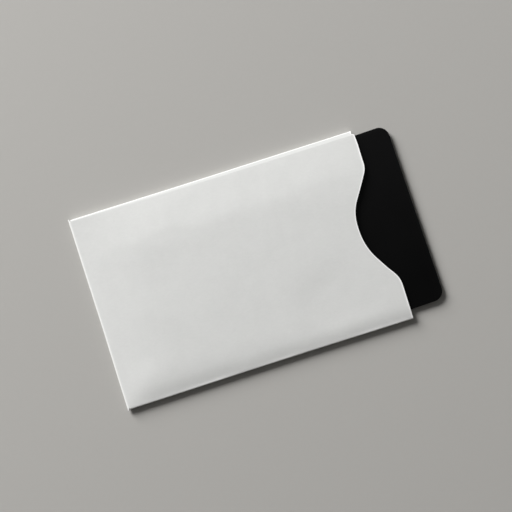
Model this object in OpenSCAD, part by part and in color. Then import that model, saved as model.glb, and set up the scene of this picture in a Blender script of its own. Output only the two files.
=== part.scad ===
// Shielded paper sleeve for one bank-size card, with the card part way into it.
// Millimetres. +X runs along the sleeve to its open end, +Y to the spine fold, +Z up from the table.
// The sleeve is one blank of laminate, paper outside, foil in the middle, film inside. It is folded
// over at the spine, and the back panel is glued on two flaps that turn in from the front panel.

/* [Card] */
// Length of the card
card_len = 85.60; // [80:0.1:90]
// Width of the card
card_wid = 53.98; // [50:0.02:58]
// Thickness of the card
card_thk = 0.76; // [0.7:0.01:1]
// Radius of the card's corners
card_corner_r = 3.18; // [2:0.02:5]
// How far the card lies turned in the pocket, in degrees
card_skew = 1.2; // [0:0.1:1.5]
// How far the card sticks out of the pocket
card_out = 10.8; // [2:0.1:40]

/* [Card layers] */
// Thickness of the clear film on each face of the card
overlay_t = 0.06; // [0.04:0.01:0.08]
// Thickness of the plastic core behind each clear film
core_t = 0.22; // [0.2:0.01:0.25]
// Turns of the antenna
coil_turns = 4; // [3:1:6]
// Width of the antenna's track
track_w = 0.5; // [0.3:0.05:0.6]
// Distance from one turn of the antenna to the next
track_pitch = 1.1; // [1:0.05:1.3]
// Thickness of the antenna's track
track_t = 0.08; // [0.04:0.01:0.1]
// Distance from the card's edge to the antenna's outer turn
coil_margin = 3.6; // [2.5:0.1:6]
// Length of the chip module, across the turns that it bridges
chip_len = 9; // [8:0.1:12]
// Width of the chip module
chip_wid = 5; // [4:0.1:8]
// Thickness of the chip module
chip_t = 0.18; // [0.12:0.01:0.19]
// Clearance round the chip module in its window
chip_gap = 0.05; // [0.02:0.01:0.1]

/* [Pocket] */
// Free width beside the card at each long edge
side_room = 2.0; // [1.8:0.05:4]
// Free length behind a card that is pushed home and flush with the throat
end_room = 2.49; // [1.5:0.01:8]
// Gap from the card's nearest edge to the inside of the side fold
card_side_gap = 0.68; // [0.4:0.01:1]
// Clearance under the card
card_under = 0.06; // [0.05:0.01:0.2]
// Clearance over the card along the folds, where the pocket is lowest
card_over = 0.15; // [0.1:0.01:0.4]

/* [Laminate] */
// Thickness of the coated paper
paper_t = 0.16; // [0.12:0.01:0.25]
// Thickness of the foil
foil_t = 0.02; // [0.02:0.01:0.04]
// Thickness of the inner film
film_t = 0.03; // [0.02:0.01:0.05]
// Thickness of a line of glue
glue_t = 0.02; // [0.02:0.01:0.05]

/* [Swell of the front panel] */
// Rise of the panel over its folds near the closed end
swell_closed = 0.55; // [0.3:0.05:0.9]
// Rise of the panel over its folds at the throat
swell_open = 0.8; // [0.4:0.05:1.2]
// Width of the slope beside the side fold
side_slope = 10; // [8:0.5:14]
// Width of the slope beside the spine fold
spine_slope = 12; // [8:0.5:14]
// Length of the slope at the closed end
end_slope = 9; // [7:0.5:14]
// How sharply the slopes bend off towards the folds
slope_power = 2.2; // [1.6:0.1:2.6]

/* [Throat] */
// Depth of the thumb notch
notch_depth = 7.25; // [6.5:0.05:8.5]
// Slope of the notch's sides, in degrees from the throat's edge
notch_angle = 30.4; // [27:0.1:35]
// Radius of the notch's bottom
notch_r = 18; // [14:0.5:20]
// Radius of the notch's shoulders
shoulder_r = 6; // [3:0.5:8]
// How far the throat's edge is cut back at the spine crease
nick_depth = 1.6; // [0.5:0.1:2.5]
// How far that cut reaches along the edge, each side of the crease
nick_reach = 4.6; // [3:0.1:6]

/* [Flaps] */
// Width of the glued side flap
side_flap_w = 11; // [8:0.5:12]
// Length of the glued end flap
end_flap_w = 10; // [8:0.5:14]
// Slope of the flaps' cut ends where they meet in the corner, in degrees
mitre = 45; // [45:1:50]
// Slope of the flaps' other ends, in degrees
taper = 20; // [10:1:30]
// How far the flaps and the side fold are cut away at the closed end's corners
corner_relief = 1.0; // [0.8:0.1:2]
// How far the end fold's ends stand out past the long edges
fold_ear = 0.25; // [0.1:0.05:0.5]
// How far the back panel stops short of the folded edges
back_inset = 0.9; // [0.8:0.05:1.5]
// How far the glue stays back from the flaps' edges
glue_inset = 1.5; // [1:0.1:2.5]

/* [Hidden] */

PAPER = [0.95, 0.95, 0.94];
PAPER_EDGE = [0.88, 0.88, 0.87];
FOIL = [0.75, 0.76, 0.78];
FILM = [0.62, 0.70, 0.76];
GLUE = [0.86, 0.80, 0.58];
CARD = [0.06, 0.06, 0.065];
CORE = [0.14, 0.14, 0.15];
INLAY = [0.55, 0.56, 0.58];
TRACK = [0.78, 0.79, 0.80];
CHIP = [0.20, 0.22, 0.25];

SIDE_FOLD_STEPS = 7;
SPINE_FOLD_STEPS = 8;
END_FOLD_STEPS = 7;
LENGTH_STEPS = 8;
END_SLOPE_STEPS = 4;
EDGE_STEPS = 5;
SHOULDER_STEPS = 4;
NOTCH_STEPS = 5;
CORNER_STEPS = 12;
CROWDING = 1.5;

// The laminate's faces, as depths below its paper face
PAPER_FACE = 0;
FOIL_FACE = paper_t;
FILM_FACE = paper_t + foil_t;
sheet_t = paper_t + foil_t + film_t;

// Outside sizes and levels of the sleeve
sleeve_len = card_len + end_room + sheet_t;
half_wid = card_wid / 2 + side_room + sheet_t;
flap_z = sheet_t + glue_t;
card_z = flap_z + sheet_t + card_under;
edge_z = card_z + card_thk + card_over + sheet_t;

// The folds bend on until they are in line with the panel's slope, so there is no ridge
swell_mean = (swell_closed + swell_open) / 2;
side_lean = atan(swell_mean * slope_power / side_slope);
spine_lean = atan(swell_mean * slope_power / spine_slope);
end_lean = atan(swell_closed * slope_power / end_slope);
side_r = (edge_z - flap_z) / (1 + cos(side_lean));
spine_r = edge_z / (1 + cos(spine_lean));
end_r = (edge_z - flap_z) / (1 + cos(end_lean));
side_y = side_r - half_wid;
spine_y = half_wid - spine_r;
side_edge_y = side_y - side_r * sin(side_lean);
spine_edge_y = spine_y + spine_r * sin(spine_lean);
end_edge_x = end_r - end_r * sin(end_lean);

// The card's place in the pocket
skew_half_x = (card_len / 2 - card_corner_r) * cos(card_skew)
            + (card_wid / 2 - card_corner_r) * sin(card_skew) + card_corner_r;
skew_half_y = (card_wid / 2 - card_corner_r) * cos(card_skew)
            + (card_len / 2 - card_corner_r) * sin(card_skew) + card_corner_r;
card_x = sleeve_len + card_out - skew_half_x;
card_y = skew_half_y + card_side_gap + sheet_t - half_wid;
overall_len = sleeve_len + card_out;
inlay_t = card_thk - 2 * overlay_t - 2 * core_t;

// The thumb notch: half of its outline, from the shoulder in to the middle, as [y, x]
notch_in_y = notch_r * sin(notch_angle);
notch_in_x = notch_depth - notch_r * (1 - cos(notch_angle));
corner_y = notch_in_y + notch_in_x / tan(notch_angle);
shoulder_y = corner_y + shoulder_r * tan(notch_angle / 2);
shoulder_points = [for (k = [0:SHOULDER_STEPS]) let (a = notch_angle * k / SHOULDER_STEPS)
    [shoulder_y - shoulder_r * sin(a), sleeve_len - shoulder_r * (1 - cos(a))]];
bottom_points = [for (k = [0:NOTCH_STEPS - 1]) let (a = notch_angle * (1 - k / NOTCH_STEPS))
    [notch_r * sin(a), sleeve_len - notch_depth + notch_r * (1 - cos(a))]];
half_notch = concat(shoulder_points, bottom_points);
notch_points = concat([for (p = half_notch) [-p[0], p[1]]], [[0, sleeve_len - notch_depth]],
                      [for (k = [len(half_notch) - 1:-1:0]) half_notch[k]]);

// How far the throat is cut back at a distance from the spine crease, along the sheet
function nick(d) = d < nick_reach ? nick_depth * (1 - sqrt(1 - pow(1 - d / nick_reach, 2))) : 0;
top_to_crease = spine_r * (90 - spine_lean) * PI / 180;
bottom_to_crease = spine_r * PI / 2;

function mix(a, b, f) = a + (b - a) * f;
function unit(v) = v / norm(v);

// Rows run round the sheet, from the side flap's tip over the front to the back panel's glued edge.
// A row is [y, z, inward y, inward z, first x, last x].
function flap_tip_x(w) = sleeve_len - w * tan(taper);
side_crease_x = end_edge_x + corner_relief;
side_flap_rows = [[side_y + side_flap_w, flap_z, 0, 1, side_crease_x + side_flap_w * tan(mitre),
                   flap_tip_x(side_flap_w)],
                  [side_y, flap_z, 0, 1, side_crease_x, sleeve_len]];
side_fold_rows = [for (k = [1:SIDE_FOLD_STEPS - 1]) let (a = (180 - side_lean) * k / SIDE_FOLD_STEPS)
    [side_y - side_r * sin(a), flap_z + side_r - side_r * cos(a), sin(a), cos(a),
     end_edge_x + corner_relief * (1 + cos(a)) / 2, sleeve_len]];
front_side_rows = [for (k = [0:EDGE_STEPS - 1]) let (f = pow(k / EDGE_STEPS, CROWDING))
    [mix(side_edge_y, -shoulder_y, f), sleeve_len]];
front_spine_rows = [for (k = [EDGE_STEPS - 1:-1:0]) let (f = pow(k / EDGE_STEPS, CROWDING))
    let (y = mix(spine_edge_y, shoulder_y, f)) [y, sleeve_len - nick(top_to_crease + spine_edge_y - y)]];
front_outline = concat(front_side_rows, notch_points, front_spine_rows);
front_last = len(front_outline) - 1;
front_rows = [for (k = [0:front_last]) let (p = front_outline[k])
    let (lean = k == 0 ? side_lean : k == front_last ? -spine_lean : 0)
    [p[0], edge_z, sin(lean), -cos(lean), end_edge_x, p[1]]];
spine_rows = [for (k = [1:SPINE_FOLD_STEPS]) let (a = mix(spine_lean, 180, k / SPINE_FOLD_STEPS))
    [spine_y + spine_r * sin(a), spine_r + spine_r * cos(a), -sin(a), -cos(a),
     mix(end_edge_x, back_inset, k / SPINE_FOLD_STEPS),
     sleeve_len - nick(spine_r * abs(a - 90) * PI / 180)]];
back_edge_y = back_inset - half_wid;
back_spine_rows = [for (k = [1:EDGE_STEPS - 1]) let (f = pow(k / EDGE_STEPS, CROWDING))
    let (y = mix(spine_y, shoulder_y, f))
    [y, 0, 0, 1, back_inset, sleeve_len - nick(bottom_to_crease + spine_y - y)]];
back_notch_rows = [for (k = [len(notch_points) - 1:-1:0]) let (p = notch_points[k])
    [p[0], 0, 0, 1, back_inset, p[1]]];
back_rows = concat(back_spine_rows, back_notch_rows, [[back_edge_y, 0, 0, 1, back_inset, sleeve_len]]);
ROWS = concat(side_flap_rows, side_fold_rows, front_rows, spine_rows, back_rows);

// Where each part of the sheet begins and ends, as numbers of rows
SIDE_CREASE = 1;
FRONT_FIRST = SIDE_CREASE + SIDE_FOLD_STEPS;
FRONT_LAST = FRONT_FIRST + front_last;
BACK_FIRST = FRONT_LAST + SPINE_FOLD_STEPS;
ROW_LAST = len(ROWS) - 1;

// Columns run along the sheet. The first ones are the end flap and the end fold, on the front's rows
// alone, each [x, z, inward x, inward z, first y, last y]. The rest are shares of a row's length.
end_low_y = side_edge_y + corner_relief;
end_high_y = spine_edge_y - corner_relief;
end_low_ear = half_wid + fold_ear + (end_low_y + side_edge_y) / 2;
end_high_ear = half_wid + fold_ear - (end_high_y + spine_edge_y) / 2;
end_flap_columns = [[end_r + end_flap_w, flap_z, 0, 1, end_low_y + end_flap_w * tan(mitre),
                     end_high_y - end_flap_w * tan(taper)],
                    [end_r, flap_z, 0, 1, end_low_y, end_high_y]];
end_fold_columns = [for (k = [1:END_FOLD_STEPS - 1]) let (a = mix(180, end_lean, k / END_FOLD_STEPS))
    let (cut = corner_relief * (1 - cos(a)) / 2)
    [end_r - end_r * sin(a), flap_z + end_r + end_r * cos(a), sin(a), -cos(a),
     side_edge_y + cut - end_low_ear * sin(a), spine_edge_y - cut + end_high_ear * sin(a)]];
END_COLUMNS = concat(end_flap_columns, end_fold_columns);
END_CREASE = 1;
MAIN_FIRST = len(END_COLUMNS);
slope_share = end_slope / sleeve_len;
SHARES = concat([for (k = [0:END_SLOPE_STEPS]) slope_share * pow(k / END_SLOPE_STEPS, CROWDING)],
                [for (k = [1:LENGTH_STEPS]) mix(slope_share, 1, k / LENGTH_STEPS)]);
COLUMN_LAST = MAIN_FIRST + len(SHARES) - 1;

// The front panel's rise over its folds
function slope(q) = q < 1 ? 1 - pow(1 - max(q, 0), slope_power) : 1;
function rise(x, y) = mix(swell_closed, swell_open, x / sleeve_len)
    * slope((x - end_edge_x) / end_slope)
    * slope((y - side_edge_y) / side_slope)
    * slope((spine_edge_y - y) / spine_slope);

function on_front(j) = j >= FRONT_FIRST && j <= FRONT_LAST;
function end_point(c, y, depth) =
    let (f = (y - side_edge_y) / (spine_edge_y - side_edge_y))
    [c[0] + depth * c[2], mix(c[4], c[5], f), c[1] + depth * c[3]];
function main_point(row, share, crowned, depth) =
    let (x = mix(row[4], row[5], share))
    let (tilt = crowned && share == 0 ? sin(end_lean) : 0)
    let (inward = unit([tilt, row[2], row[3]]))
    [x, row[0], row[1] + (crowned ? rise(x, row[0]) : 0)] + depth * inward;
function sheet_point(i, j, depth) = i < MAIN_FIRST
    ? end_point(END_COLUMNS[i], ROWS[j][0], depth)
    : main_point(ROWS[j], SHARES[i - MAIN_FIRST], on_front(j), depth);

// A piece of one layer: the columns i0 to i1 and the rows j0 to j1, between two depths.
// The columns before MAIN_FIRST have cells on the front's rows only.
module layer(i0, i1, j0, j1, top, bottom) {
    wide = i1 - i0 + 1;
    count = wide * (j1 - j0 + 1);
    function id(i, j, side) = side * count + (j - j0) * wide + i - i0;
    function cell(i, j) = i >= i0 && i < i1 && j >= j0 && j < j1
        && (i >= MAIN_FIRST || (on_front(j) && on_front(j + 1)));
    points = [for (depth = [top, bottom]) for (j = [j0:j1]) for (i = [i0:i1]) sheet_point(i, j, depth)];
    faces = [for (j = [j0:j1]) for (i = [i0:i1]) each concat(
        cell(i, j) ? [
            [id(i, j, 0), id(i, j + 1, 0), id(i + 1, j + 1, 0)],
            [id(i, j, 0), id(i + 1, j + 1, 0), id(i + 1, j, 0)],
            [id(i, j, 1), id(i + 1, j + 1, 1), id(i, j + 1, 1)],
            [id(i, j, 1), id(i + 1, j, 1), id(i + 1, j + 1, 1)]] : [],
        cell(i, j) != cell(i, j - 1) ? wall(id(i, j, 0), id(i + 1, j, 0), count, cell(i, j)) : [],
        cell(i, j) != cell(i - 1, j) ? wall(id(i, j, 0), id(i, j + 1, 0), count, !cell(i, j)) : [])];
    polyhedron(points, faces, convexity = 8);
}
// Two triangles down the sheet's edge from a to b, each face with its lower corners count further on
function wall(a, b, count, outward) = outward
    ? [[a, b, b + count], [a, b + count, a + count]]
    : [[a, b + count, b], [a, a + count, b + count]];

module whole_layer(top, bottom) layer(0, COLUMN_LAST, 0, ROW_LAST, top, bottom);

// Puts the sleeve's closed end, drawn at x = 0, where the whole part is centred on the origin
module placed() translate([-overall_len / 2, 0, 0]) children();

module flat_sheet(z, t, outline) translate([0, 0, z]) linear_extrude(t) polygon(outline);

// Sleeve: the paper, in one solid between each pair of creases

module front_panel() color(PAPER) placed()
    layer(MAIN_FIRST, COLUMN_LAST, FRONT_FIRST, FRONT_LAST, PAPER_FACE, FOIL_FACE);

module spine_fold() color(PAPER_EDGE) placed()
    layer(MAIN_FIRST, COLUMN_LAST, FRONT_LAST, BACK_FIRST, PAPER_FACE, FOIL_FACE);

module side_fold() color(PAPER_EDGE) placed()
    layer(MAIN_FIRST, COLUMN_LAST, SIDE_CREASE, FRONT_FIRST, PAPER_FACE, FOIL_FACE);

module end_fold() color(PAPER_EDGE) placed()
    layer(END_CREASE, MAIN_FIRST, FRONT_FIRST, FRONT_LAST, PAPER_FACE, FOIL_FACE);

module back_panel() color(PAPER) placed()
    flat_sheet(0, paper_t, concat([for (j = [BACK_FIRST:ROW_LAST]) [ROWS[j][5], ROWS[j][0]]],
                                  [[back_inset, back_edge_y], [back_inset, spine_y]]));

module side_flap() color(PAPER) placed()
    flat_sheet(flap_z, paper_t, concat([for (r = side_flap_rows) [r[4], r[0]]],
                                       [for (k = [1:-1:0]) [side_flap_rows[k][5], side_flap_rows[k][0]]]));

module end_flap() color(PAPER) placed()
    flat_sheet(flap_z, paper_t, concat([for (c = end_flap_columns) [c[0], c[4]]],
                                       [for (k = [1:-1:0]) [end_flap_columns[k][0], end_flap_columns[k][5]]]));

// Sleeve: the foil and the film, each one whole folded sheet behind the paper

module foil_shield() color(FOIL) placed() whole_layer(FOIL_FACE, FILM_FACE);

module liner_film() color(FILM) placed() whole_layer(FILM_FACE, sheet_t);

// Sleeve: the glue between the flaps and the back panel

module side_seam_glue() color(GLUE) placed() {
    low = back_edge_y + glue_inset;
    high = side_y + side_flap_w - glue_inset;
    left = side_crease_x + glue_inset * 2;
    right = sleeve_len - glue_inset;
    flat_sheet(sheet_t, glue_t, [[left + (low - side_y) * tan(mitre), low],
                                 [right - (low - side_y) * tan(taper), low],
                                 [right - (high - side_y) * tan(taper), high],
                                 [left + (high - side_y) * tan(mitre), high]]);
}

module end_seam_glue() color(GLUE) placed() {
    left = end_r + glue_inset;
    right = end_r + end_flap_w - glue_inset;
    low = end_low_y + glue_inset * 2;
    high = end_high_y - glue_inset;
    flat_sheet(sheet_t, glue_t, [[left, low + (left - end_r) * tan(mitre)],
                                 [right, low + (right - end_r) * tan(mitre)],
                                 [right, high - (right - end_r) * tan(taper)],
                                 [left, high - (left - end_r) * tan(taper)]]);
}

// Card

// Puts a layer of the card, drawn flat about its middle, at its height above the card's back
module in_card(z) placed() translate([card_x, card_y, card_z + z]) rotate(card_skew) children();

module card_outline() {
    x = card_len / 2 - card_corner_r;
    y = card_wid / 2 - card_corner_r;
    polygon([for (corner = [[x, y, 0], [-x, y, 90], [-x, -y, 180], [x, -y, 270]])
        for (k = [0:CORNER_STEPS]) let (a = corner[2] + 90 * k / CORNER_STEPS)
            [corner[0] + card_corner_r * cos(a), corner[1] + card_corner_r * sin(a)]]);
}

module card_layer(z, t) in_card(z) linear_extrude(t) card_outline();

inlay_z = overlay_t + core_t;
front_core_z = inlay_z + inlay_t;
coil_x = card_len / 2 - coil_margin;
coil_y = card_wid / 2 - coil_margin;
chip_x = -coil_x + coil_turns * track_pitch / 2;

// Middle line of the antenna: anticlockwise from under the chip, and inwards by one pitch each turn
coil_path = concat([[-coil_x, -chip_wid / 4]],
    [for (n = [0:coil_turns - 1]) let (x = coil_x - n * track_pitch, y = coil_y - n * track_pitch)
        each [[-x, -y], [x, -y], [x, y], [track_pitch - x, y]]],
    [[coil_turns * track_pitch - coil_x, chip_wid / 4]]);
coil_last = len(coil_path) - 1;
function left_of(k) = let (d = unit(coil_path[k + 1] - coil_path[k])) [-d[1], d[0]];
function coil_side(k) = k == 0 ? left_of(0) : k == coil_last ? left_of(k - 1) : left_of(k - 1) + left_of(k);

module coil_outline()
    polygon(concat([for (k = [0:coil_last]) coil_path[k] + coil_side(k) * track_w / 2],
                   [for (k = [coil_last:-1:0]) coil_path[k] - coil_side(k) * track_w / 2]));

module card_back_overlay() color(CARD) card_layer(0, overlay_t);

module card_back_core() color(CORE) card_layer(overlay_t, core_t);

module card_inlay() color(INLAY) difference() {
    card_layer(inlay_z, inlay_t);
    in_card(front_core_z - track_t) linear_extrude(track_t + overlay_t) coil_outline();
}

module card_antenna() color(TRACK)
    in_card(front_core_z - track_t) linear_extrude(track_t) coil_outline();

module card_chip() color(CHIP)
    in_card(front_core_z) translate([chip_x - chip_len / 2, -chip_wid / 2, 0]) cube([chip_len, chip_wid, chip_t]);

module card_front_core() color(CORE) difference() {
    card_layer(front_core_z, core_t);
    in_card(front_core_z - overlay_t)
        translate([chip_x - chip_len / 2 - chip_gap, -chip_wid / 2 - chip_gap, 0])
            cube([chip_len + 2 * chip_gap, chip_wid + 2 * chip_gap, overlay_t + chip_t]);
}

module card_front_overlay() color(CARD) card_layer(front_core_z + core_t, overlay_t);

front_panel();
back_panel();
spine_fold();
side_fold();
side_flap();
end_fold();
end_flap();
foil_shield();
liner_film();
side_seam_glue();
end_seam_glue();
card_front_overlay();
card_front_core();
card_chip();
card_antenna();
card_inlay();
card_back_core();
card_back_overlay();
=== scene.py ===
"""Folds a foil-lined paper sleeve round a plain black card, and sets both on a pale floor."""

import math

import bmesh
import bpy
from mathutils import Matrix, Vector, noise


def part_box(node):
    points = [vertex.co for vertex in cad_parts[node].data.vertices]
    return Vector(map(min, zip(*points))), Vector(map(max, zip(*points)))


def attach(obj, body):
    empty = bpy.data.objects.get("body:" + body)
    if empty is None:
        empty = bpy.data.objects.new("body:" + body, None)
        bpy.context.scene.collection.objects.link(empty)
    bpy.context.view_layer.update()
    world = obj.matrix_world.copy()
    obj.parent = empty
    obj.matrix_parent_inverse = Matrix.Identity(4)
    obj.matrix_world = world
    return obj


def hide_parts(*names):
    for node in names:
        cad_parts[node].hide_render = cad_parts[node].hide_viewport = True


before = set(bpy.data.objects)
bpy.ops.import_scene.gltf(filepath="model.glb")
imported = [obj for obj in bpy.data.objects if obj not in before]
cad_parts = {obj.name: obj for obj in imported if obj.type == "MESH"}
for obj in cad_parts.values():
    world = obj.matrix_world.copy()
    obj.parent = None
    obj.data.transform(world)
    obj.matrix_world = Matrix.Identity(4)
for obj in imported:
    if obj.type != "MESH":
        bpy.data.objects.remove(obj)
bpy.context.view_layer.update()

bl_info = {
    "name": "Card Sleeve",
    "version": (1, 0, 0),
    "blender": (4, 5, 0),
    "location": "3D View > Sidebar > Card Sleeve",
    "description": "Folds a lined paper sleeve, puts a black card in it and lights them",
    "category": "Object",
}

# Two places this near each other are the same, and a shorter move isn't made
NEAR = 1e-6
LEAST_MOVE = 1e-9

# The sleeve lies with its open end, the throat, towards +X and its spine fold towards +Y
THROAT_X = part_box("back_panel")[1].x
PAPER_NODES = ("front_panel", "back_panel", "spine_fold", "side_fold", "side_flap",
               "end_fold", "end_flap")

# Round floor with a swept-up rim. Its shading gives way to the even backdrop between two radii.
FLOOR_RADIUS, SWEEP_RADIUS, WALL_HEIGHT = 1.9, 0.6, 1.2
FLOOR_LEVEL = -0.00001
FLOOR_SIDES, SWEEP_STEPS = 96, 10
BACKDROP_FROM, BACKDROP_FULL = 0.13, 0.32
# The sky fades from one side to the other between these two slants of its direction
SKY_FADE = 0.2

# The parts of the folded blank that a point of it can lie in
FRONT, FACET, SPINE, BACK, SIDE_FOLD, SIDE_FLAP, END_FOLD, END_FLAP = range(8)

# The painted highlight along the cut throat, a whiter line in place of light caught at the cut: how
# far it reaches in, and the part of that where it fades
CUT_HIGHLIGHT, CUT_HIGHLIGHT_FADE = 0.00045, 0.0002

# Steps round the card's corners and over its punched rim
CORNER_STEPS, RIM_STEPS = 16, 3

# Edges that turn by less than this are shaded smooth
SMOOTH_PAPER, SMOOTH_CARD = math.radians(30), math.radians(40)


# Sizes and colours that a maker would change

def length(name, description, default):
    return bpy.props.FloatProperty(name=name, description=description, default=default,
                                   min=0.0, precision=5, unit="LENGTH")


def angle(name, description, degrees):
    return bpy.props.FloatProperty(name=name, description=description,
                                   default=math.radians(degrees), unit="ROTATION")


def share(name, description, default):
    return bpy.props.FloatProperty(name=name, description=description, default=default,
                                   min=0.0, max=1.0, subtype="FACTOR")


def colour(name, description, default):
    return bpy.props.FloatVectorProperty(name=name, description=description, default=default,
                                         size=3, min=0.0, max=1.0, subtype="COLOR")


class CardSleeveSheet(bpy.types.PropertyGroup):
    """Sizes of the folded blank"""
    sleeve_length: length("Length", "From the closed end to the throat", 0.0883)
    sleeve_width: length("Width", "Across the folded sleeve", 0.0584)
    fold_level: length("Fold level", "Height of the front panel along its folds", 0.00162)
    flap_level: length("Flap level", "Height of the glued flaps' outer faces", 0.00023)
    paper: length("Paper", "Thickness of the coated paper", 0.00016)
    foil: length("Foil", "Thickness of the foil", 0.00002)
    film: length("Film", "Thickness of the inner film", 0.00003)
    side_level: length("Side level", "Height of the front panel along its side fold", 0.0015)
    spine_radius: length("Spine radius", "Half the height of the spine fold", 0.00074)
    swell_closed: share("Swell, closed end", "Share of the full swell near the closed end", 0.98)
    swell_open: bpy.props.FloatProperty(name="Swell, throat", default=1.05, min=0.0, max=1.15,
                                        description="Share of the full swell at the throat")
    end_slope: length("End slope", "Length of the slope by the closed end", 0.021)
    notch_depth: length("Notch depth", "Depth of the thumb notch", 0.00725)
    notch_radius: length("Notch radius", "Radius of the notch's bottom", 0.018)
    notch_angle: angle("Notch slope", "Slope of the notch's sides", 30.4)
    shoulder_radius: length("Shoulder radius", "Radius of the notch's shoulders", 0.006)
    nick_depth: length("Nick depth", "Cut back of the spine fold at the throat", 0.00075)
    nick_reach: length("Nick reach", "Reach of that cut into the panels", 0.0036)
    facet_open: length("Pressed edge, throat", "Width of the pressed spine edge, throat", 0.00125)
    facet_closed: length("Pressed edge, closed end", "Its width at the closed end", 0.00045)
    facet_tilt: angle("Pressed edge tilt", "Tilt of the pressed spine edge", 11)
    side_flap: length("Side flap", "Width of the glued side flap", 0.011)
    end_flap: length("End flap", "Length of the glued end flap", 0.010)
    corner_cut: length("Corner cut", "Cut away at the closed end's corners", 0.001)
    ear: length("Fold ear", "How far the end fold stands out past the long edges", 0.00025)
    back_inset: length("Back inset", "How far the back panel stops short of the folds", 0.0009)
    wave: length("Wave", "Height of the slow waves in the front panel", 0.00006)
    dent: length("Dent", "Depth of the shallow thumb dent by the notch", 0.0002)


class CardSleeveCard(bpy.types.PropertyGroup):
    """Sizes of the card"""
    card_length: length("Length", "Length of the card", 0.0856)
    card_width: length("Width", "Width of the card", 0.05398)
    corner_radius: length("Corner radius", "Radius of the card's corners", 0.00318)
    edge_round: length("Edge rounding", "Rounding of the punched rim", 0.00003)
    skew: angle("Skew", "How far the card lies turned in the pocket", 1.2)


class CardSleeveFinish(bpy.types.PropertyGroup):
    """Colours of the pieces"""
    paper: colour("Paper", "Coated paper", (0.692, 0.696, 0.682))
    # Also the colour of the painted highlight along the cut throat on the paper's face
    cut_paper: colour("Cut paper", "The paper's cut edge", (0.93, 0.93, 0.92))
    foil: colour("Foil", "Rolled foil", (0.78, 0.79, 0.80))
    film: colour("Film", "Clear film over the foil", (0.72, 0.74, 0.76))
    glue: colour("Glue", "Dried adhesive", (0.62, 0.55, 0.36))
    card_face: colour("Card face", "Black laminate", (0.0011, 0.0011, 0.0012))
    card_core: colour("Card core", "Black core sheet", (0.008, 0.008, 0.009))
    inlay: colour("Inlay", "Middle sheet of the card", (0.32, 0.33, 0.34))
    antenna: colour("Antenna", "Etched track", (0.75, 0.76, 0.77))
    chip: colour("Chip", "Moulded module", (0.02, 0.02, 0.022))
    floor: colour("Floor", "Pale floor", (0.44, 0.43, 0.41))
    backdrop: colour("Backdrop", "What shows beyond the lit floor", (0.43, 0.42, 0.40))


class CardSleeveStudio(bpy.types.PropertyGroup):
    """Camera and light"""
    camera_height: length("Camera height", "Height of the camera over the table", 0.502)
    camera_x: length("Camera X", "Camera's place along the sleeve", 0.00016)
    camera_y: length("Camera Y", "Camera's place across the sleeve", 0.00217)
    camera_turn: angle("Camera turn", "How far the camera is turned from the sleeve", -17.73)
    lens: bpy.props.FloatProperty(name="Lens", description="Focal length in millimetres",
                                  default=119.2, min=1.0)
    key_power: bpy.props.FloatProperty(name="Key light", default=46.6, min=0.0,
                                       description="Power of the key light in watts")
    key_height: angle("Key height", "Angle of the key light over the floor", 24)
    key_bearing: angle("Key bearing", "Bearing of the key light, from +X towards +Y", 117.3)
    key_distance: length("Key distance", "Distance of the key light from the sleeve", 1.5)
    key_size: length("Key size", "Width of the key light", 0.84)
    fill_spine: share("Fill, spine's side", "Strength of the sky on the spine's side", 0.19)
    fill_side: share("Fill, seam's side", "Strength of the sky on the other side", 0.05)


# Modelling helpers

def start_clean():
    """Leaves edit mode and deselects all, so that an operator acts on the new piece alone."""
    if bpy.context.object and bpy.context.object.mode != "OBJECT":
        bpy.ops.object.mode_set(mode="OBJECT")
    bpy.ops.object.select_all(action="DESELECT")


def select_only(obj):
    start_clean()
    obj.select_set(True)
    bpy.context.view_layer.objects.active = obj


def edit(obj):
    """Opens a piece in edit mode, where edges are selected."""
    select_only(obj)
    bpy.ops.object.mode_set(mode="EDIT")
    bpy.context.tool_settings.mesh_select_mode = (False, True, False)


def new_piece(name):
    """Names the primitive that was just added and puts its place into its mesh."""
    obj = bpy.context.object
    obj.name = name
    obj.data.name = name
    bpy.ops.object.transform_apply(location=True, rotation=True, scale=True)
    return obj


def finish_piece(obj, modifier_type, **settings):
    """Adds a modifier with these settings and applies it."""
    select_only(obj)
    bpy.ops.object.modifier_add(type=modifier_type)
    modifier = obj.modifiers[-1]
    for key, value in settings.items():
        setattr(modifier, key, value)
    bpy.ops.object.modifier_apply(modifier=modifier.name)


def select_edges(obj, test):
    """Selects only the edges that pass the test."""
    bpy.ops.mesh.select_all(action="DESELECT")
    mesh = bmesh.from_edit_mesh(obj.data)
    found = [edge for edge in mesh.edges if test(edge)]
    if not found:
        raise RuntimeError(f"no edge of {obj.name} is where it should be")
    for edge in found:
        edge.select_set(True)
    bmesh.update_edit_mesh(obj.data)


def pick_edges(obj, test):
    """Selects only the edges whose two ends both pass the test."""
    select_edges(obj, lambda edge: all(test(point.co) for point in edge.verts))


def face_outwards():
    bpy.ops.mesh.select_all(action="SELECT")
    bpy.ops.mesh.normals_make_consistent(inside=False)


def smooth(obj, angle):
    select_only(obj)
    bpy.ops.object.shade_smooth_by_angle(angle=angle, keep_sharp_edges=True)


def copy_piece(obj, name):
    select_only(obj)
    bpy.ops.object.duplicate(linked=False)
    copied = bpy.context.object
    copied.name = name
    copied.data.name = name
    return copied


def mix(low, high, part):
    return low + (high - low) * part


def ease(value):
    """Goes smoothly from 0 to 1 as the value does."""
    value = min(max(value, 0.0), 1.0)
    return value * value * (3 - 2 * value)


def between(value, start, end):
    """Goes smoothly from 0 to 1 as the value goes from start to end."""
    return ease((value - start) / (end - start))


def hump(value, centre, reach):
    """A smooth rise of height 1 about a centre."""
    return math.exp(-((value - centre) / reach) ** 2)


def bump(x, y, centre_x, centre_y, reach_x, reach_y):
    """A smooth round rise of height 1 about a centre."""
    away = ((x - centre_x) / reach_x) ** 2 + ((y - centre_y) / reach_y) ** 2
    return math.exp(-away)


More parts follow.
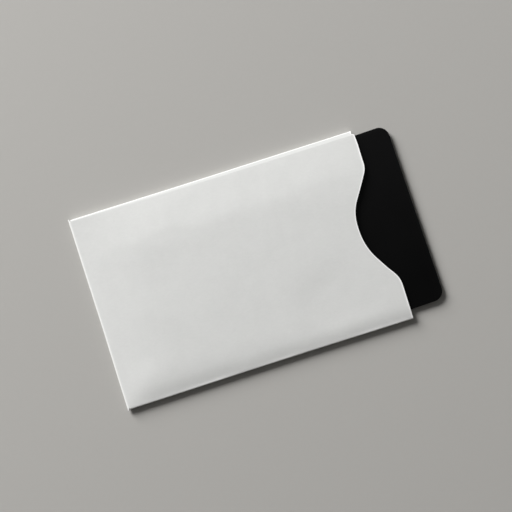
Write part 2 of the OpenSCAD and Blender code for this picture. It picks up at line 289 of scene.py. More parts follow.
def bend(value):
    """Height of a line that bends up from level over a value of 0 to 1, and then runs on."""
    if value < 0:
        return 0.0
    return value ** 3 - value ** 4 / 2 if value < 1 else value - 0.5


# How much of a fold's round is left: 1 is a plain round, and 0 a square edge
PRESSED = 0.45


def squared(value):
    """Flattens a fold's round towards a crisp pressed edge."""
    return math.copysign(abs(value) ** PRESSED, value)


def waves(x, y, table):
    """Sum of smooth waves: each has a height, its number in a metre along X and Y, and a level."""
    return sum(height * noise.noise(Vector((x * along, y * across, level)))
               for height, along, across, level in table)


# The folded blank

class Blank:
    """The blank's lines, worked out from its sizes. X is measured from the closed end."""

    # Spacing of the grid, and its finer steps at the throat and the closed end
    COLUMN = 0.00095
    ROW = 0.00054
    THROAT_STEPS = (0.0006, 0.0003, 0.0002, 0.0001)
    END_STEPS = (0.0004,) * 5
    SPINE_STEPS, FOLD_STEPS = 16, 12
    BACK_ROWS, SIDE_FLAP_ROWS, END_FLAP_ROWS = 96, 12, 10
    # From here to the throat, the columns are drawn back to follow its cut
    STRETCH_FROM = 0.060

    # The front panel's slope beside the spine, and where it bends across its width: the distance
    # from the spine edge, the width of the bend and the change of slope
    SPINE_SLOPE = 0.072
    BENDS = ((0.0015, 0.0035, -0.015), (0.006, 0.005, -0.010), (0.0108, 0.0026, -0.035),
             (0.0125, 0.0055, -0.018), (0.022, 0.018, -0.014), (0.048, 0.005, -0.012),
             (0.0525, 0.005, -0.108))
    # The bends wander along X by these waves, each in one row of the noise
    RAGGED = ((0.0015, 95, 2.2, 5.5), (0.0008, 330, 9.1, 5.5))
    # The panel is fuller low down by the closed end, and beside the notch towards the spine
    FULLER_LOW, FULLER_BY_NOTCH = 0.00012, 0.00010
    # Slow waves all over the panel, and quick ones that are stronger along two rows
    SLOW_WAVES = ((1, 38, 44, 3.1), (0.6, 70, 80, 7.7))
    QUICK_WAVES = ((1, 230, 260, 1.3),)
    QUICK_SHARE, QUICK_ROW_SHARE = 0.14, 0.16
    QUICK_ROWS, QUICK_ROW_REACH = (0.0125, 0.053), 0.003
    # The thumb dent: its place, its turn, and its reach to its steep side, its long side and across
    DENT_X, DENT_Y = 0.066, -0.0142
    DENT_COS, DENT_SIN = 0.458, 0.889
    DENT_STEEP, DENT_LONG, DENT_ACROSS = 0.006, 0.016, 0.009
    # A faint pressed line just inside the closed end
    LINE_DEPTH, LINE_X, LINE_Y, LINE_WIDTH, LINE_REACH = 0.00002, 0.0016, 0.015, 0.0003, 0.007

    # The folds bend on until they are in line with the panel's slopes
    SIDE_LEAN = math.radians(5)
    END_LEAN = math.radians(4)
    # How fast the crease beside the spine parts from it, away from the closed end
    CREASE_BOW = 1.6
    # Reach of the cut corners along the folds, and the taper of the flaps' far ends
    CORNER_REACH = 0.006
    FLAP_TAPER = math.tan(math.radians(20))
    # The cut notch against the drawn one: its scale, what is cut off square on the spine's side,
    # and small humps with their depth, place across the sleeve and reach
    NOTCH_SCALE = 1.02
    SPINE_SIDE_CUT = 0.00010
    NOTCH_HUMPS = ((0.00022, 0.0068, 0.004), (-0.00022, -0.0151, 0.0018))
    # Share of the spine's nick that the panels have, and the cut of the pressed edge beside it
    NICK_BESIDE = 0.16
    FACET_CUT, FACET_CUT_REACH = 0.00042, 0.0022

    def __init__(self, sheet):
        self.sheet = sheet
        self.start_x = THROAT_X - sheet.sleeve_length
        self.half = sheet.sleeve_width / 2
        # The side and end folds
        drop = sheet.fold_level - sheet.flap_level
        self.side_turn = math.pi - self.SIDE_LEAN
        self.end_turn = math.pi - self.END_LEAN
        self.side_r = drop / (1 + math.cos(self.SIDE_LEAN))
        self.end_r = drop / (1 + math.cos(self.END_LEAN))
        self.side_y = self.side_r - self.half
        self.side_edge = self.side_y - self.side_r * math.sin(self.SIDE_LEAN)
        self.end_edge = self.end_r * (1 - math.sin(self.END_LEAN))
        # The pressed facet runs from the spine's round to a soft crease in the panel
        self.spine_r = sheet.spine_radius
        self.spine_y = self.half - self.spine_r
        self.spine_lean = math.atan(math.tan(sheet.facet_tilt) ** (1 / (2 - PRESSED)))
        self.facet_end_y = self.spine_y + self.spine_r * squared(math.sin(self.spine_lean))
        self.facet_end_z = self.spine_r * (1 + squared(math.cos(self.spine_lean)))
        self.spun_from = math.atan2(self.facet_end_y - self.spine_y,
                                    self.facet_end_z - self.spine_r)
        self.crease = self.half - sheet.facet_open
        self.top_run = self.spine_r * (math.pi / 2 - self.spine_lean)
        # The notch's outline
        self.notch_in_y = sheet.notch_radius * math.sin(sheet.notch_angle)
        self.notch_in_x = sheet.notch_depth - sheet.notch_radius * (1 - math.cos(sheet.notch_angle))
        corner = self.notch_in_y + self.notch_in_x / math.tan(sheet.notch_angle)
        self.shoulder = corner + sheet.shoulder_radius * math.tan(sheet.notch_angle / 2)

    # The cut throat

    def nick(self, along):
        """Cut back of the throat at a distance along the sheet from the spine's outermost line.

        The spine and its pressed edge are cut short, and the panels beside them only a little.
        """
        sheet = self.sheet
        run = self.top_run + self.facet_end_y - self.crease
        beside = between(along, run + sheet.nick_reach, run)
        spine = between(along, run, 0.6 * run)
        return sheet.nick_depth * (self.NICK_BESIDE * beside + spine)

    def notch(self, y):
        """Cut back of the throat by the thumb notch, which isn't quite the same on both sides."""
        cut = self.NOTCH_SCALE * self.drawn_notch(abs(y))
        cut += self.SPINE_SIDE_CUT * between(y, 0, 0.004) * between(y, 0.026, 0.020)
        for depth, middle, reach in self.NOTCH_HUMPS:
            cut += depth * hump(y, middle, reach)
        return cut

    def drawn_notch(self, y):
        sheet = self.sheet
        r = sheet.notch_radius
        if y < self.notch_in_y:
            return sheet.notch_depth - r + math.sqrt(r * r - y * y)
        r = sheet.shoulder_radius
        if y < self.shoulder - r * math.sin(sheet.notch_angle):
            return self.notch_in_x - (y - self.notch_in_y) * math.tan(sheet.notch_angle)
        if y < self.shoulder:
            return r - math.sqrt(r * r - (self.shoulder - y) ** 2)
        return 0.0

    def cut_back(self, x, cut):
        """Draws the columns near the throat back by a cut."""
        if x < self.STRETCH_FROM:
            return x
        return x - cut * (x - self.STRETCH_FROM) / (self.sheet.sleeve_length - self.STRETCH_FROM)

    # The front panel's height

    def crease_y(self, x):
        """The soft crease beside the spine: it closes in on the spine towards the closed end."""
        part = 1 - (1 - min(x / self.sheet.sleeve_length, 1)) ** self.CREASE_BOW
        return self.half - mix(self.sheet.facet_closed, self.sheet.facet_open, part)

    def facet_z(self, y):
        return self.facet_end_z + (self.facet_end_y - y) * math.tan(self.sheet.facet_tilt)

    def rise(self, from_spine):
        """Height of the panel's line across its width, over its spine edge."""
        return self.SPINE_SLOPE * from_spine + sum(
            change * width * bend((from_spine - start) / width)
            for start, width, change in self.BENDS)

    def ragged(self, x, from_spine):
        """How far the panel's bends wander: not beside the spine, and less in the lower half."""
        less = 1 - 0.7 * between(from_spine, 0.020, 0.040)
        return waves(x, 1, self.RAGGED) * between(from_spine, 0, 0.008) * less

    def swelled(self, x, y):
        """Height of the front panel, smooth but for its slopes."""
        sheet = self.sheet
        from_spine = self.half - y
        crease = self.crease_y(x)
        edge_z = self.facet_z(crease)
        part = (crease - y) / (crease - self.side_edge)
        level = mix(edge_z, sheet.side_level, part)
        start, end = self.rise(self.half - crease), self.rise(self.half - self.side_edge)
        over = self.rise(from_spine + self.ragged(x, from_spine)) - start
        over += part * part * (sheet.side_level - edge_z - (end - start))
        over -= level - edge_z
        low = between(from_spine, 0.020, 0.050) * between(from_spine, 0.0575, 0.0505)
        over += self.FULLER_LOW * low * between(x, 0.060, 0.020)
        over += self.FULLER_BY_NOTCH * bump(x, y, 0.086, 0.010, 0.012, 0.005)
        # The slope by the closed end is steeper near the side fold
        away = 1 - min(max((x - self.end_edge) / sheet.end_slope, 0.0), 1.0)
        steep = 2 + 2 * between(from_spine, 0.045, 0.055)
        swell = mix(sheet.swell_closed, sheet.swell_open, x / sheet.sleeve_length)
        return level + over * swell * (1 - away ** steep)

    def panel_z(self, x, y):
        """Height of the front panel, with its small waves and dents."""
        sheet = self.sheet
        inside = (between(x, self.end_edge, self.end_edge + 0.006)
                  * between(y, self.side_edge, self.side_edge + 0.008)
                  * between(y, self.crease_y(x), self.crease_y(x) - 0.003))
        rows = sum(hump(self.half - y, row, self.QUICK_ROW_REACH) for row in self.QUICK_ROWS)
        quick = self.QUICK_SHARE + self.QUICK_ROW_SHARE * rows
        height = self.swelled(x, y)
        height += inside * sheet.wave * (waves(x, y, self.SLOW_WAVES)
                                         + quick * waves(x, y, self.QUICK_WAVES))
        # The thumb's dent: steep towards the spine and the closed end, and long the other way
        from_x, from_y = x - self.DENT_X, y - self.DENT_Y
        down = self.DENT_COS * from_x - self.DENT_SIN * from_y
        along = self.DENT_SIN * from_x + self.DENT_COS * from_y
        reach = self.DENT_STEEP if down < 0 else self.DENT_LONG
        height -= sheet.dent * inside * bump(down, along, 0, 0, reach, self.DENT_ACROSS)
        return height - self.LINE_DEPTH * bump(x, y, self.LINE_X, self.LINE_Y,
                                               self.LINE_WIDTH, self.LINE_REACH)

    # Where a point of each part comes to lie

    def lowered(self, above_flap, level):
        """Draws a fold's height over its flap down, so that its top comes to a level."""
        sheet = self.sheet
        drop = sheet.fold_level - sheet.flap_level
        return sheet.flap_level + above_flap * (level - sheet.flap_level) / drop

    def by_end(self, x):
        """1 at the closed end, down to 0 where its cut corners end."""
        return max(0.0, 1 - (x - self.end_edge) / self.CORNER_REACH)

    def place_front(self, x, y, z):
        if y > 0.020:
            y += (self.crease_y(x) - self.crease) * between(y, 0.020, self.crease)
        x = self.cut_back(x, self.notch(y) + self.nick(self.top_run + self.facet_end_y - y))
        return x, y, self.panel_z(x, y)

    def place_facet(self, x, y, z):
        part = (y - self.crease) / (self.facet_end_y - self.crease)
        y = mix(self.crease_y(x), self.facet_end_y, part)
        x = self.cut_back(x, self.nick(self.top_run + self.facet_end_y - y))
        from_throat = (self.sheet.sleeve_length - x) / self.FACET_CUT_REACH
        x -= self.FACET_CUT * (1 - abs(2 * part - 1)) * ease(1 - from_throat)
        return x, y, self.facet_z(y)

    def place_spine(self, x, y, z):
        spun = math.atan2(y - self.spine_y, z - self.spine_r) % (2 * math.pi)
        turn = mix(self.spine_lean, math.pi, (spun - self.spun_from) / (math.pi - self.spun_from))
        from_end = self.by_end(x)
        x = self.cut_back(x, self.nick(self.spine_r * abs(turn - math.pi / 2)))
        x += (self.sheet.back_inset - self.end_edge) * from_end * (turn / math.pi)
        out, up = math.sin(turn), math.cos(turn)
        if up > 0:
            out, up = squared(out), squared(up)
        return x, self.spine_y + self.spine_r * out, self.spine_r * (1 + up)

    def place_back(self, x, y, z):
        from_end = self.by_end(x)
        along = self.spine_r * math.pi / 2 + self.spine_y - y
        x = self.cut_back(x, self.notch(y) + self.nick(along))
        return x + (self.sheet.back_inset - self.end_edge) * from_end, y, 0.0

    def place_side_fold(self, x, y, z):
        sheet = self.sheet
        turn = math.atan2(self.side_y - y, z - sheet.flap_level - self.side_r) % (2 * math.pi)
        x += sheet.corner_cut * (1 - math.cos(turn)) / 2 * self.by_end(x)
        y = self.side_y - self.side_r * squared(math.sin(turn))
        above_flap = self.side_r * (1 + squared(math.cos(turn)))
        return x, y, self.lowered(above_flap, sheet.side_level)

    def place_side_flap(self, x, y, z):
        full = self.sheet.sleeve_length
        wide = y - self.side_y
        part = (x - self.end_edge) / (full - self.end_edge)
        near_end = self.end_edge + self.sheet.corner_cut + wide
        return mix(near_end, full - wide * self.FLAP_TAPER, part), y, z

    def place_end_fold(self, x, y, z):
        """The ends of the fold stand out past the long edges as small ears."""
        sheet = self.sheet
        low, high = self.side_edge, self.crease_y(self.end_edge)
        turn = math.atan2(self.end_r - x, z - sheet.flap_level - self.end_r) % (2 * math.pi)
        part = (y - low) / (self.crease - low)
        cut = sheet.corner_cut * (1 - math.cos(turn)) / 2
        out = math.sin(math.pi * (turn - self.END_LEAN) / self.end_turn)
        stands_out = self.half + sheet.ear + sheet.corner_cut / 2
        y = mix(low + cut - (stands_out + low) * out, high - cut + (stands_out - high) * out, part)
        level = mix(sheet.side_level, self.facet_z(high), part)
        return x, y, self.lowered(z - sheet.flap_level, level)

    def place_end_flap(self, x, y, z):
        cut = self.sheet.corner_cut
        far = x - self.end_r
        part = (y - self.side_edge) / (self.crease - self.side_edge)
        high = self.crease_y(self.end_edge) - cut - far * self.FLAP_TAPER
        return x, mix(self.side_edge + cut + far, high, part), z

    # In the order of the parts' numbers
    PLACES = (place_front, place_facet, place_spine, place_back, place_side_fold,
              place_side_flap, place_end_fold, place_end_flap)

    def place(self, point, part):
        """Where a point of the plain folded blank comes to lie."""
        x, y, z = self.PLACES[part](self, point.x - self.start_x, point.y, point.z)
        return self.settle_outline(Vector((x + self.start_x, y, z)))

    def settle_outline(self, point):
        """The small bows of the real sleeve's edges: spine, side fold, closed end and throat."""
        x, y = point.x - self.start_x, point.y
        from_spine = self.half - y
        spine_bow = 0.00027 + 0.00015 * between(x, 0, 0.045)
        side_bow = 0.00048 - 0.00018 * between(x, 0, 0.050) + 0.0001 * between(x, 0.055, 0.085)
        end_bow = 0.00002 + 0.0002 * between(from_spine, 0.030, 0.058)
        y -= spine_bow * ease(y / self.half)
        y -= side_bow * ease(-y / self.half)
        x -= end_bow * between(x, 0.012, 0)
        x += 0.00007 * between(x, self.STRETCH_FROM, self.STRETCH_FROM + 0.028)
        return Vector((x + self.start_x, y, point.z))


def note_part(obj, known, part):
    """Notes the part of the blank that the points made since then lie in."""
    mesh = bmesh.from_edit_mesh(obj.data)
    layer = mesh.verts.layers.int["part"]
    mesh.verts.ensure_lookup_table()
    for point in mesh.verts[known:]:
        point[layer] = part
    bmesh.update_edit_mesh(obj.data)


def draw_out(obj, part, step):
    """Extrudes the selected edges by a step."""
    known = len(bmesh.from_edit_mesh(obj.data).verts)
    bpy.ops.mesh.extrude_edges_move(TRANSFORM_OT_translate={"value": step})
    note_part(obj, known, part)


def fold_round(obj, part, steps, turn, centre, axis):
    """Spins the selected edges round a fold's middle line."""
    known = len(bmesh.from_edit_mesh(obj.data).verts)
    bpy.ops.mesh.spin(steps=steps, angle=turn, center=centre, axis=axis)
    note_part(obj, known, part)


def settle(obj, place):
    """Moves each point to its place. The moves are painted as weights, for Displace to apply."""
    parts = obj.data.attributes["part"].data
    moves = [place(point.co, parts[point.index].value) - point.co
             for point in obj.data.vertices]
    for axis in range(3):
        for sign in (1, -1):
            amounts = [max(0.0, sign * move[axis]) for move in moves]
            most = max(amounts)
            if most < LEAST_MOVE:
                continue
            weights = obj.vertex_groups.new(name="moves")
            for index, amount in enumerate(amounts):
                if amount > 0:
                    weights.add([index], amount / most, "REPLACE")
            finish_piece(obj, "DISPLACE", direction="XYZ"[axis], mid_level=0.0,
                         strength=sign * most, vertex_group=weights.name)
            obj.vertex_groups.clear()


def fold_blank(sheet):
    """Models the blank's outer face: front panel, folds, back panel and flaps in one open sheet."""
    blank = Blank(sheet)
    start, throat = blank.start_x, THROAT_X
    grid_start = start + blank.end_edge + sum(blank.END_STEPS)
    grid_end = throat - sum(blank.THROAT_STEPS)
    low, top = blank.side_edge, blank.crease
    long, wide = grid_end - grid_start, top - low
    middle = ((grid_start + grid_end) / 2, (low + top) / 2, sheet.fold_level)
    start_clean()
    bpy.ops.mesh.primitive_grid_add(x_subdivisions=round(long / blank.COLUMN),
                                    y_subdivisions=round(wide / blank.ROW),
                                    size=1, location=middle)
    obj = new_piece("sheet_pattern")
    obj.data.attributes.new("part", "INT", "POINT")
    edit(obj)
    bpy.ops.mesh.select_all(action="SELECT")
    bpy.ops.transform.resize(value=(long, wide, 1), center_override=middle)

    for sign, edge_x, steps in ((1, grid_end, blank.THROAT_STEPS),
                                (-1, grid_start, blank.END_STEPS)):
        pick_edges(obj, lambda co: abs(co.x - edge_x) < NEAR)
        for step in steps:
            draw_out(obj, FRONT, (sign * step, 0, 0))

    # The spine: a pressed facet, the round, and the back panel
    pick_edges(obj, lambda co: abs(co.y - top) < NEAR)
    bpy.ops.mesh.mark_sharp()
    facet = (0, (blank.facet_end_y - top) / 2, (blank.facet_end_z - sheet.fold_level) / 2)
    draw_out(obj, FACET, facet)
    draw_out(obj, FACET, facet)
    fold_round(obj, SPINE, blank.SPINE_STEPS, math.pi - blank.spun_from,
               (0, blank.spine_y, blank.spine_r), (1, 0, 0))
    back_edge = sheet.back_inset - blank.half
    for _ in range(blank.BACK_ROWS):
        draw_out(obj, BACK, (0, (back_edge - blank.spine_y) / blank.BACK_ROWS, 0))

    # The side fold and its flap
    pick_edges(obj, lambda co: abs(co.y - low) < NEAR and abs(co.z - sheet.fold_level) < NEAR)
    fold_round(obj, SIDE_FOLD, blank.FOLD_STEPS, blank.side_turn,
               (0, blank.side_y, sheet.flap_level + blank.side_r), (-1, 0, 0))
    for _ in range(blank.SIDE_FLAP_ROWS):
        draw_out(obj, SIDE_FLAP, (0, sheet.side_flap / blank.SIDE_FLAP_ROWS, 0))

    # The end fold and its flap
    end_x = start + blank.end_edge
    pick_edges(obj, lambda co: abs(co.x - end_x) < NEAR and abs(co.z - sheet.fold_level) < NEAR
               and low - NEAR < co.y < top + NEAR)
    fold_round(obj, END_FOLD, blank.FOLD_STEPS, blank.end_turn,
               (start + blank.end_r, 0, sheet.flap_level + blank.end_r), (0, 1, 0))
    for _ in range(blank.END_FLAP_ROWS):
        draw_out(obj, END_FLAP, (sheet.end_flap / blank.END_FLAP_ROWS, 0, 0))

    # The panel's face is up, on the outside
    face_outwards()
    bpy.ops.object.mode_set(mode="OBJECT")
    upward = sum(face.normal.z * face.area for face in obj.data.polygons
                 if abs(face.center.z - sheet.fold_level) < NEAR)
    if upward < 0:
        edit(obj)
        bpy.ops.mesh.select_all(action="SELECT")
        bpy.ops.mesh.flip_normals()
        bpy.ops.object.mode_set(mode="OBJECT")

    # How near each point is to the die-cut throat, for the painted highlight along it
    edge = obj.data.attributes.new("cut_highlight", "FLOAT", "POINT")
    for point in obj.data.vertices:
        into_highlight = (CUT_HIGHLIGHT - throat + point.co.x) / CUT_HIGHLIGHT_FADE
        edge.data[point.index].value = min(1.0, max(0.0, into_highlight))
    settle(obj, blank.place)
    return obj


def give_thickness(obj, name, thickness, depth):
    """Copies the open sheet as one layer, at a depth below the paper's face."""
    layer = copy_piece(obj, name)
    finish_piece(layer, "SOLIDIFY", thickness=thickness, offset=-1 - 2 * depth / thickness,
                 use_even_offset=True, material_offset_rim=1)
    layer.data.attributes.remove(layer.data.attributes["part"])
    smooth(layer, SMOOTH_PAPER)
    return layer


# Materials

class Tone:
    """A number that varies over a surface. Maths on it adds Math nodes to its material."""

    def __init__(self, wiring, socket):
        self.wiring = wiring
        self.socket = socket

    def maths(self, operation, first, second):
        return self.wiring.add("ShaderNodeMath", {"operation": operation}, {0: first, 1: second})

    def __add__(self, other):
        return self.maths("ADD", self, other)

    def __radd__(self, other):
        return self.maths("ADD", other, self)

    def __mul__(self, other):
        return self.maths("MULTIPLY", self, other)

    def __rmul__(self, other):
        return self.maths("MULTIPLY", other, self)


class Wiring:
    """The nodes of a material or a world."""

    def __init__(self, owner):
        owner.use_nodes = True
        self.nodes = owner.node_tree.nodes
        self.links = owner.node_tree.links
        self.nodes.clear()

    def add(self, kind, settings=None, sockets=None, out=0):
        """Adds a node, with its settings first and then its sockets' values or links."""
        node = self.nodes.new(kind)
        for key, value in (settings or {}).items():
            setattr(node, key, value)
        for key, value in (sockets or {}).items():
            if isinstance(value, Tone):
                self.links.new(value.socket, node.inputs[key])
            elif isinstance(value, tuple) and node.inputs[key].type == "RGBA":
                node.inputs[key].default_value = (*value[:3], 1)
            else:
                node.inputs[key].default_value = value
        return Tone(self, node.outputs[out]) if node.outputs else None

    def slope(self, value, start, end, low=0.0, high=1.0):
        """Goes smoothly from low to high as the value goes from start to end."""
        return self.add("ShaderNodeMapRange", {"interpolation_type": "SMOOTHSTEP"},
                        {"Value": value, "From Min": start, "From Max": end,
                         "To Min": low, "To Max": high})


class Finish(Wiring):
    """One material, built from nodes."""

    def __init__(self, name, shown):
        self.material = bpy.data.materials.new(name)
        self.material.diffuse_color = (*shown, 1)
        super().__init__(self.material)

    def place(self, stretch=(1, 1, 1), turn=0.0):
        """Object coordinates, stretched and turned about Z."""
        coords = self.add("ShaderNodeTexCoord", out="Object")
        return self.add("ShaderNodeMapping", {}, {"Vector": coords, "Scale": stretch,
                                                  "Rotation": (0, 0, turn)})

    def grain(self, where, scale, detail=3.0, roughness=0.55):
        """Soft noise from 0 to 1, in spots of about 1 / scale metres."""
        return self.add("ShaderNodeTexNoise", {}, {"Vector": where, "Scale": scale,
                                                   "Detail": detail, "Roughness": roughness})

    def blend(self, part, first, second):
        """The first colour where the part is 0, and the second where it is 1."""
        return self.add("ShaderNodeMix", {"data_type": "RGBA"},
                        {0: part, 6: first, 7: second}, out=2)

    def relief(self, height, depth):
        """Fine relief, as deep as this where the height goes from 0 to 1."""
        return self.add("ShaderNodeBump", {}, {"Height": height, "Distance": depth,
                                               "Strength": 1.0})

    def surface(self, **sockets):
        """The material's shader and output. Socket names have _ for their spaces."""
        named = {key.replace("_", " "): value for key, value in sockets.items()}
        shader = self.add("ShaderNodeBsdfPrincipled", {}, named)
        self.add("ShaderNodeOutputMaterial", {}, {"Surface": shader})
        return self.material


def darker(shade, factor):
    return tuple(min(channel * factor, 1.0) for channel in shade)


def paper_finish(shade, highlight_shade):
    """Coated paper: faint cloudy formation, fine fibres, and a painted highlight along the cut
    throat, in the cut paper's whiter colour.
    """
    made = Finish("coated_paper", shade)
    where = made.place()
    clouds = made.grain(where, 90, detail=4)
    mottle = made.grain(where, 310, detail=4, roughness=0.65)
    fibres = made.grain(made.place((1, 1.7, 1), 0.5), 1000, detail=5, roughness=0.7)
    tooth = made.grain(where, 4200, detail=2)
    tone = made.blend(0.3 * clouds + 0.45 * mottle + 0.6 * fibres,
                      darker(shade, 0.89), darker(shade, 1.05))
    # Painted highlight: a whiter line along the cut throat, standing in for light caught at the cut
    # edge
    edge = made.add("ShaderNodeAttribute", {"attribute_name": "cut_highlight"}, out="Fac")
    tone = made.blend(edge, tone, tuple(highlight_shade))
    return made.surface(Base_Color=tone, Roughness=0.62 + 0.12 * clouds + 0.08 * fibres,
                        Normal=made.relief(fibres + 0.4 * tooth, 0.000006),
                        Specular_IOR_Level=0.16)


def cut_paper_finish(shade):
    """The paper's raw edge: rough fibres."""
    made = Finish("cut_paper", shade)
    fibres = made.grain(made.place((1, 1, 4)), 9000, detail=4)
    tone = made.blend(fibres, darker(shade, 0.9), darker(shade, 1.05))
    return made.surface(Base_Color=tone, Roughness=0.75 + 0.15 * fibres,
                        Normal=made.relief(fibres, 0.00001))


def foil_finish(shade):
    """Rolled foil: fine lines along the roll, and a satin sheen."""
    made = Finish("rolled_foil", shade)
    lines = made.grain(made.place((0.02, 1, 1)), 5200, detail=4)
    creases = made.grain(made.place(), 320, detail=4)
    tone = made.blend(lines, darker(shade, 0.94), darker(shade, 1.03))
    return made.surface(Base_Color=tone, Metallic=1.0, Roughness=0.24 + 0.16 * lines,
                        Normal=made.relief(lines * 0.3 + creases, 0.00001))


def film_finish(shade):
    """Clear film over the foil: the foil's fine lines under a glossy coat, a little wrinkled."""
    made = Finish("film_over_foil", shade)
    lines = made.grain(made.place((0.02, 1, 1)), 5200, detail=4)
    wrinkles = made.grain(made.place((1, 1.4, 1), 0.3), 260, detail=4, roughness=0.5)
    tone = made.blend(lines, darker(shade, 0.94), darker(shade, 1.03))
    return made.surface(Base_Color=tone, Metallic=0.9, Roughness=0.26 + 0.14 * lines,
                        Normal=made.relief(wrinkles + 0.1 * lines, 0.00002),
                        Coat_Weight=0.5, Coat_Roughness=0.12)


def glue_finish(shade):
    """Dried adhesive: uneven, with small bubbles."""
    made = Finish("dried_glue", shade)
    runs = made.grain(made.place((0.3, 1, 1)), 900, detail=4)
    bubbles = made.grain(made.place(), 3500, detail=2)
    tone = made.blend(runs, darker(shade, 0.8), darker(shade, 1.1))
    return made.surface(Base_Color=tone, Roughness=0.25 + 0.3 * runs,
                        Normal=made.relief(runs + 0.5 * bubbles, 0.00001))


def card_face_finish(shade):
    """Black laminate: a very fine matt grain with faint cloudy gloss from handling."""
    made = Finish("card_laminate", shade)
    where = made.place()
    grain = made.grain(where, 6500, detail=2)
    handled = made.grain(where, 70, detail=4)
    tone = made.blend(handled, darker(shade, 0.85), darker(shade, 1.2))
    return made.surface(Base_Color=tone, Roughness=0.34 + 0.08 * handled + 0.04 * grain,
                        Normal=made.relief(grain, 0.0000015), Specular_IOR_Level=0.2)


def plastic_finish(name, shade, scale, rough, depth):
    """Sheet plastic as punched: fine drag lines across its edge and a slight mottle."""
    made = Finish(name, shade)
    drag = made.grain(made.place((1, 1, 0.15)), scale, detail=3)
    mottle = made.grain(made.place(), scale / 12, detail=3)
    tone = made.blend(mottle, darker(shade, 0.85), darker(shade, 1.15))
    return made.surface(Base_Color=tone, Roughness=rough + 0.15 * drag,
                        Normal=made.relief(drag, depth), Specular_IOR_Level=0.35)


def track_finish(shade):
    """Etched aluminium track: fine rolled lines, slightly pitted edges."""
    made = Finish("etched_track", shade)
    lines = made.grain(made.place((0.05, 1, 1)), 7000, detail=3)
    pits = made.grain(made.place(), 9000, detail=2)
    tone = made.blend(lines, darker(shade, 0.85), darker(shade, 1.05))
    return made.surface(Base_Color=tone, Metallic=1.0, Roughness=0.3 + 0.2 * pits,
                        Normal=made.relief(lines + pits, 0.000004))


def floor_finish(shade, backdrop):
    """Plain pale floor, faintly speckled. Far from the sleeve it shows as an even backdrop."""
    made = Finish("studio_floor", shade)
    where = made.place()
    speckle = made.grain(where, 900, detail=4)
    tone = made.blend(speckle, darker(shade, 0.985), darker(shade, 1.015))
    floor = made.add("ShaderNodeBsdfPrincipled", {}, {
        "Base Color": tone, "Roughness": 0.8 + 0.1 * speckle, "Specular IOR Level": 0.1})
    even = made.add("ShaderNodeEmission", {}, {"Color": tuple(backdrop), "Strength": 1.0})
    distance = made.add("ShaderNodeVectorMath", {"operation": "LENGTH"}, {0: where}, out="Value")
    far = made.slope(distance, BACKDROP_FROM, BACKDROP_FULL)
    seen = sum(made.add("ShaderNodeLightPath", out=ray)
               for ray in ("Is Camera Ray", "Is Glossy Ray", "Is Transmission Ray"))
    shown = made.add("ShaderNodeMixShader", {}, {0: far * seen, 1: floor, 2: even})
    made.add("ShaderNodeOutputMaterial", {}, {"Surface": shown})
    return made.material


def dress(obj, *materials):
    """Gives a piece its materials, in the order of its slots."""
    obj.data.materials.clear()
    for material in materials:
        obj.data.materials.append(material)


# Operators

class CARDSLEEVE_OT_fold_sleeve(bpy.types.Operator):
    """Folds the blank and gives its paper, foil and film their thickness"""
    bl_idname = "card_sleeve.fold_sleeve"
    bl_label = "Fold the Sleeve"

    def execute(self, context):
        sheet = context.scene.card_sleeve_sheet
        finish = context.scene.card_sleeve_finish
        pattern = fold_blank(sheet)

        paper = give_thickness(pattern, "sleeve_paper", sheet.paper, 0.0)
        # The cut paper's colour also paints a highlight along the throat on the paper's face
        dress(paper, paper_finish(finish.paper, finish.cut_paper),
              cut_paper_finish(finish.cut_paper))
        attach(paper, "sleeve")
        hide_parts(*PAPER_NODES)

        foil = give_thickness(pattern, "sleeve_foil", sheet.foil, sheet.paper)
        dress(foil, foil_finish(finish.foil))
        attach(foil, "sleeve")
        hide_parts("foil_shield")

        film = give_thickness(pattern, "sleeve_film", sheet.film, sheet.paper + sheet.foil)
        dress(film, film_finish(finish.film))
        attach(film, "sleeve")
        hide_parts("liner_film")

        bpy.data.objects.remove(pattern)
        return {"FINISHED"}


class CARDSLEEVE_OT_card_faces(bpy.types.Operator):
    """Punches the card's two face films, with round corners and a softened rim"""
    bl_idname = "card_sleeve.card_faces"
    bl_label = "Make the Card's Faces"

    def execute(self, context):
        sizes = context.scene.card_sleeve_card
        laminate = card_face_finish(context.scene.card_sleeve_finish.card_face)
        for name, node, outer_side in (("card_front_face", "card_front_overlay", 1),
                                       ("card_back_face", "card_back_overlay", 0)):
            low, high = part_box(node)
            middle = (low + high) / 2
            outer = (low, high)[outer_side].z
            start_clean()
            bpy.ops.mesh.primitive_cube_add(size=1, location=middle)
            face = new_piece(name)
            edit(face)
            bpy.ops.mesh.select_all(action="SELECT")
            bpy.ops.transform.resize(value=(sizes.card_length, sizes.card_width, high.z - low.z),
                                     center_override=middle)
            select_edges(face, lambda edge: abs(edge.verts[0].co.z - edge.verts[1].co.z) > NEAR)
            bpy.ops.mesh.bevel(offset=sizes.corner_radius, segments=CORNER_STEPS)
            pick_edges(face, lambda co: abs(co.z - outer) < NEAR)
            bpy.ops.mesh.bevel(offset=sizes.edge_round, segments=RIM_STEPS)
            bpy.ops.mesh.select_all(action="SELECT")
            # With no window the turn goes the other way
            bpy.ops.transform.rotate(value=-sizes.skew, orient_axis="Z", center_override=middle)
            smooth(face, SMOOTH_CARD)
            dress(face, laminate)
            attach(face, "card")
            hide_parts(node)
        return {"FINISHED"}


